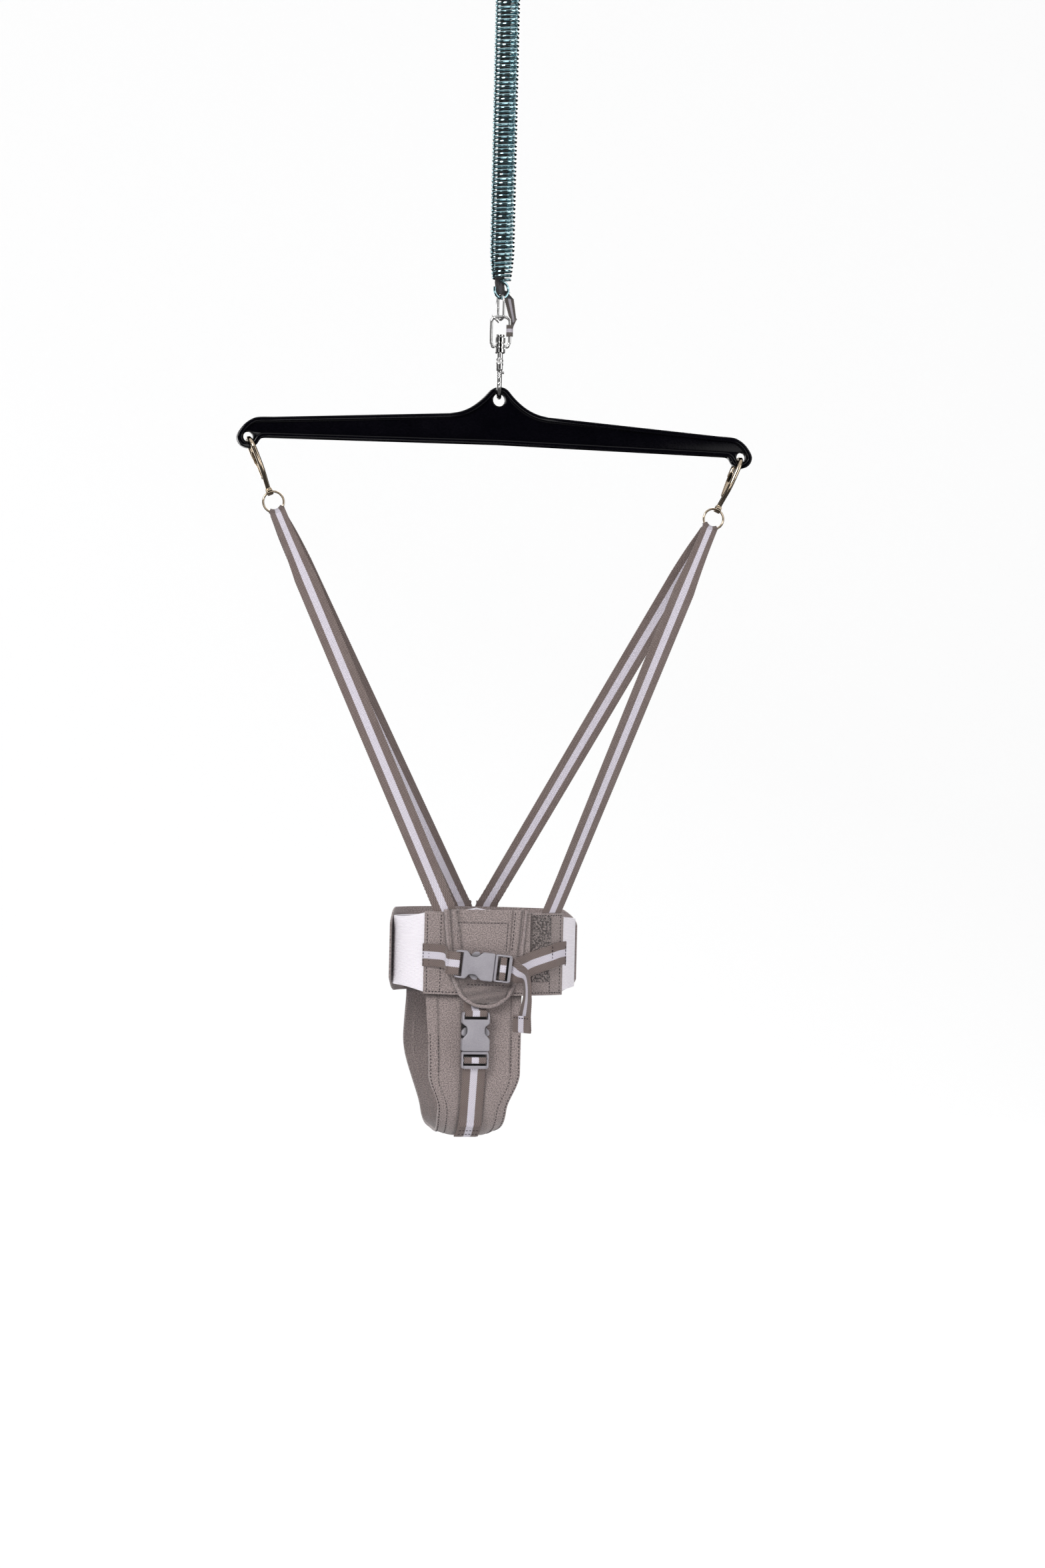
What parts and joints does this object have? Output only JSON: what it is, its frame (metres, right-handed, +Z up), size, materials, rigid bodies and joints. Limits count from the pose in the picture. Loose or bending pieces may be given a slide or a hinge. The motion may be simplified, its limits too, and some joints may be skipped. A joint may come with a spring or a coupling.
{
  "type": "baby doorway jumper",
  "caption": "Door-frame clamp, chain and coil spring carrying a spreader bar, shoulder straps and a buckled fabric seat for a standing baby.",
  "frame": {"origin": "centre of the clamp's grip on the door trim, between its two pads", "axes": "+Z up, +X along the spreader bar towards the wearer's left, the harness front faces -Y"},
  "size_m": [0.4726, 0.1632, 1.2873],
  "materials": {
    "zinc": "bright zinc plate with a bluish cast",
    "chrome": "polished",
    "nickel": "polished, warm",
    "black_steel": "satin black",
    "bar_plastic": "gloss black",
    "buckle_plastic": "satin mid grey",
    "pad_rubber": "matt white",
    "webbing": "woven taupe grey with a pale centre stripe",
    "twill": "taupe grey twill",
    "ribbed_band": "white ribbed cotton",
    "loop_pile": "dark grey hook-and-loop pile"
  },
  "bodies": {
    "door_clamp": {"clamp_hanger": "zinc", "clamp_pivot_bolt": "zinc", "clamp_pivot_nut": "zinc", "clamp_torsion_spring": "zinc"},
    "front_jaw": {"clamp_front_arm": "black_steel", "clamp_front_pad": "pad_rubber"},
    "rear_jaw": {"clamp_rear_arm": "black_steel", "clamp_rear_pad": "pad_rubber"},
    "link_1": {"chain_link_1": "zinc"},
    "link_2": {"chain_link_2": "zinc"},
    "link_3": {"chain_link_3": "zinc"},
    "spring_top": {"main_spring": "zinc", "safety_strap": "webbing"},
    "lower_link": {"oval_link": "chrome"},
    "swivel": {"swivel_bail": "chrome", "bail_jump_ring": "chrome", "swivel_barrel": "chrome"},
    "snap": {"bolt_snap": "chrome", "snap_bolt_spring": "zinc"},
    "snap_bolt": {"snap_sliding_bolt": "chrome"},
    "bar": {"spreader_bar": "bar_plastic"},
    "harness": {"left_hook": "nickel", "left_hook_gate_rivet": "nickel", "right_hook": "nickel", "right_hook_gate_rivet": "nickel", "left_front_strap": "webbing", "left_rear_strap": "webbing", "right_front_strap": "webbing", "right_rear_strap": "webbing", "belt_band": "ribbed_band", "left_belt_panel": "twill", "right_belt_panel": "twill", "closure_patch": "loop_pile", "back_panel": "twill", "seat_panel": "twill", "bib_panel": "twill", "bib_binding": "twill", "left_waist_strap": "webbing", "right_waist_strap": "webbing", "upper_crotch_strap": "webbing", "lower_crotch_strap": "webbing", "waist_buckle_female": "buckle_plastic", "waist_buckle_male": "buckle_plastic", "crotch_buckle_female": "buckle_plastic", "crotch_buckle_male": "buckle_plastic"},
    "left_gate": {"left_hook_gate": "nickel"},
    "right_gate": {"right_hook_gate": "nickel"},
    "left_strap_ring": {"left_ring": "nickel"},
    "right_strap_ring": {"right_ring": "nickel"},
    "waist_upper_prong": {"waist_buckle_upper_prong": "buckle_plastic"},
    "waist_lower_prong": {"waist_buckle_lower_prong": "buckle_plastic"},
    "crotch_upper_prong": {"crotch_buckle_upper_prong": "buckle_plastic"},
    "crotch_lower_prong": {"crotch_buckle_lower_prong": "buckle_plastic"}
  },
  "joints": [
    {"name": "front_jaw_open", "type": "hinge", "parent": "door_clamp", "child": "front_jaw", "pos_m": [0, 0, -0.105], "axis": [1, 0, 0], "range_deg": [-11, 11], "stiffness_Nm_per_rad": 1.2, "springref_deg": -22.92},
    {"name": "rear_jaw_open", "type": "hinge", "parent": "door_clamp", "child": "rear_jaw", "pos_m": [0, 0, -0.105], "axis": [1, 0, 0], "range_deg": [-11, 11]},
    {"name": "link_1_swing", "type": "hinge", "parent": "door_clamp", "child": "link_1", "pos_m": [0, 0, -0.13484], "axis": [1, 0, 0], "range_deg": [-14, 14]},
    {"name": "link_2_swing", "type": "hinge", "parent": "link_1", "child": "link_2", "pos_m": [0, 0, -0.15654], "axis": [0, 1, 0], "range_deg": [-20, 20]},
    {"name": "link_3_swing", "type": "hinge", "parent": "link_2", "child": "link_3", "pos_m": [0, 0, -0.17824], "axis": [1, 0, 0], "range_deg": [-20, 20]},
    {"name": "spring_swing", "type": "hinge", "parent": "link_3", "child": "spring_top", "pos_m": [0, 0, -0.20024], "axis": [0, 1, 0], "range_deg": [-20, 20]},
    {"name": "spring_stretch", "type": "slide", "parent": "spring_top", "child": "lower_link", "axis": [0, 0, -1], "range_m": [-0.06, 0.15], "stiffness_N_per_m": 300, "springref_m": -0.013, "deforming": ["main_spring", "safety_strap"]},
    {"name": "bail_swing", "type": "hinge", "parent": "lower_link", "child": "swivel", "pos_m": [0, 0, -0.53604], "axis": [0.9781, -0.2079, 0], "range_deg": [-20, 20], "deforming": ["safety_strap"]},
    {"name": "swivel_turn", "type": "hinge", "parent": "swivel", "child": "snap", "pos_m": [0, 0, -0.56184], "axis": [0, 0, 1], "continuous": true},
    {"name": "snap_bolt_slide", "type": "slide", "parent": "snap", "child": "snap_bolt", "axis": [0, 0, 1], "range_m": [0, 0.005], "stiffness_N_per_m": 200, "springref_m": -0.004, "deforming": ["snap_bolt_spring"]},
    {"name": "bar_rock", "type": "hinge", "parent": "snap", "child": "bar", "pos_m": [0, 0, -0.60834], "axis": [0, 1, 0], "range_deg": [-12, 12]},
    {"name": "harness_swing", "type": "hinge", "parent": "bar", "child": "harness", "pos_m": [0, 0, -0.66477], "axis": [1, 0, 0], "range_deg": [-25, 25]},
    {"name": "left_gate_press", "type": "hinge", "parent": "harness", "child": "left_gate", "pos_m": [-0.21129, 0.00273, -0.68905], "axis": [0.9205, 0, 0.3907], "range_deg": [0, 18], "stiffness_Nm_per_rad": 0.03, "springref_deg": -11.46},
    {"name": "right_gate_press", "type": "hinge", "parent": "harness", "child": "right_gate", "pos_m": [0.21129, 0.00273, -0.68905], "axis": [0.9205, 0, -0.3907], "range_deg": [0, 18], "stiffness_Nm_per_rad": 0.03, "springref_deg": -11.46},
    {"name": "left_ring_slip", "type": "hinge", "parent": "harness", "child": "left_strap_ring", "pos_m": [-0.20219, 0, -0.71048], "axis": [0, 1, 0], "continuous": true},
    {"name": "right_ring_slip", "type": "hinge", "parent": "harness", "child": "right_strap_ring", "pos_m": [0.20219, 0, -0.71048], "axis": [0, 1, 0], "continuous": true},
    {"name": "waist_upper_squeeze", "type": "hinge", "parent": "harness", "child": "waist_upper_prong", "pos_m": [-0.00631, -0.07287, -1.11066], "axis": [-0.1392, -0.9903, 0], "range_deg": [0, 7], "stiffness_Nm_per_rad": 0.06},
    {"name": "waist_lower_squeeze", "type": "hinge", "parent": "harness", "child": "waist_lower_prong", "pos_m": [-0.00916, -0.07247, -1.12701], "axis": [-0.1392, -0.9903, 0], "range_deg": [-7, 0]},
    {"name": "crotch_upper_squeeze", "type": "hinge", "parent": "harness", "child": "crotch_upper_prong", "pos_m": [-0.0132, -0.0654, -1.19219], "axis": [0, -1, 0], "range_deg": [0, 7], "stiffness_Nm_per_rad": 0.06},
    {"name": "crotch_lower_squeeze", "type": "hinge", "parent": "harness", "child": "crotch_lower_prong", "pos_m": [-0.0298, -0.0654, -1.19219], "axis": [0, -1, 0], "range_deg": [-7, 0]}
  ],
  "couplings": [
    {"joint": "rear_jaw_open", "follows": "front_jaw_open", "ratio": -1},
    {"joint": "waist_lower_squeeze", "follows": "waist_upper_squeeze", "ratio": -1},
    {"joint": "crotch_lower_squeeze", "follows": "crotch_upper_squeeze", "ratio": -1}
  ]
}
